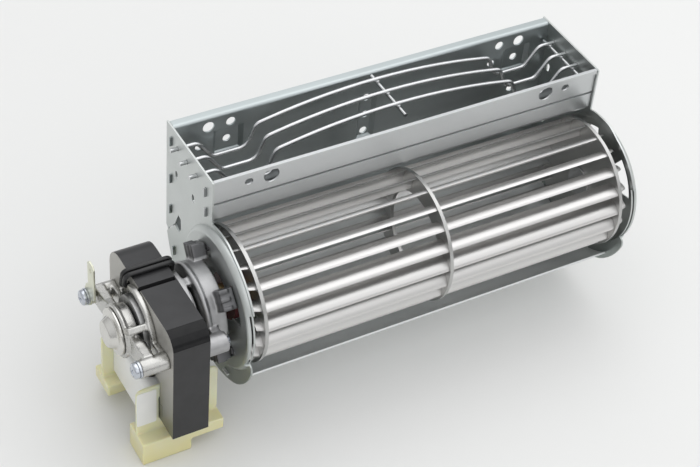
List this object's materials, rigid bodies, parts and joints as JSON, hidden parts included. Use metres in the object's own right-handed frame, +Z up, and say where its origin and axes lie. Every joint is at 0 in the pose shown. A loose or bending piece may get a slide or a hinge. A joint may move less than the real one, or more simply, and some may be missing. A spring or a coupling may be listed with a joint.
{
  "type": "tangential blower with shaded-pole motor",
  "caption": "Tangential blower: a long blade wheel in a folded scroll housing with a wire-guarded outlet, driven by a shaded-pole fan motor with a plug-in coil.",
  "frame": {"origin": "middle of the two fixing holes, on the rear wall's rear face", "axes": "+X along the wheel's axis away from the motor, +Y out of the rear wall's rear face, +Z up towards the outlet"},
  "size_m": [0.2457, 0.085, 0.1115],
  "materials": {
    "sheet_steel": "satin galvanised",
    "plate_steel": "satin galvanised",
    "guard_steel": "bright zinc plated",
    "bush_bronze": "sintered, matt",
    "mount_rubber": "matt",
    "stack_steel": "varnished laminations",
    "shading_copper": "black varnish",
    "bobbin_nylon": "natural ivory, slightly translucent",
    "winding_copper": "enamelled",
    "wrap_film": "white film",
    "terminal_brass": "tinned",
    "bracket_casting": "as cast",
    "cap_nickel": "nickel plated",
    "screw_zinc": "zinc plated",
    "cage_aluminium": "as cast",
    "shaft_steel": "ground",
    "hub_rubber": "red silicone, matt",
    "sleeve_brass": "turned",
    "wheel_aluminium": "bright rolled"
  },
  "bodies": {
    "housing": {"scroll_sheet": "sheet_steel", "outlet_front_panel": "sheet_steel", "tongue_sheet": "sheet_steel", "motor_end_plate": "plate_steel", "bearing_end_plate": "plate_steel", "guard_wire_rear": "guard_steel", "guard_wire_middle": "guard_steel", "guard_wire_front": "guard_steel", "guard_cross_wire_1": "guard_steel", "guard_cross_wire_2": "guard_steel", "guard_cross_wire_3": "guard_steel", "bearing_bush": "bush_bronze", "outer_bush": "bush_bronze", "inner_bush": "bush_bronze", "bearing_rubber_mount": "mount_rubber", "stator_core": "stack_steel", "coil_core": "stack_steel", "shading_ring_1": "shading_copper", "shading_ring_2": "shading_copper", "shading_ring_3": "shading_copper", "shading_ring_4": "shading_copper", "coil_bobbin": "bobbin_nylon", "coil_winding": "winding_copper", "coil_wrap": "wrap_film", "coil_terminals": "terminal_brass", "earth_tab": "terminal_brass", "outer_bracket": "bracket_casting", "inner_bracket": "bracket_casting", "outer_bearing_cap": "cap_nickel", "bracket_screws": "screw_zinc", "screw_washers": "screw_zinc"},
    "impeller": {"rotor_core": "stack_steel", "rotor_cage": "cage_aluminium", "motor_shaft": "shaft_steel", "drive_hub_rubber": "hub_rubber", "drive_hub_sleeve": "sleeve_brass", "wheel_disc_motor_end": "wheel_aluminium", "wheel_disc_middle": "wheel_aluminium", "wheel_disc_bearing_end": "wheel_aluminium", "stub_shaft": "shaft_steel", "blade_01": "wheel_aluminium", "blade_02": "wheel_aluminium", "blade_03": "wheel_aluminium", "blade_04": "wheel_aluminium", "blade_05": "wheel_aluminium", "blade_06": "wheel_aluminium", "blade_07": "wheel_aluminium", "blade_08": "wheel_aluminium", "blade_09": "wheel_aluminium", "blade_10": "wheel_aluminium", "blade_11": "wheel_aluminium", "blade_12": "wheel_aluminium", "blade_13": "wheel_aluminium", "blade_14": "wheel_aluminium", "blade_15": "wheel_aluminium", "blade_16": "wheel_aluminium", "blade_17": "wheel_aluminium", "blade_18": "wheel_aluminium", "blade_19": "wheel_aluminium", "blade_20": "wheel_aluminium"}
  },
  "joints": [
    {"name": "impeller_spin", "type": "hinge", "parent": "housing", "child": "impeller", "pos_m": [0, -0.0492, -0.0482], "axis": [1, 0, 0], "continuous": true}
  ]
}
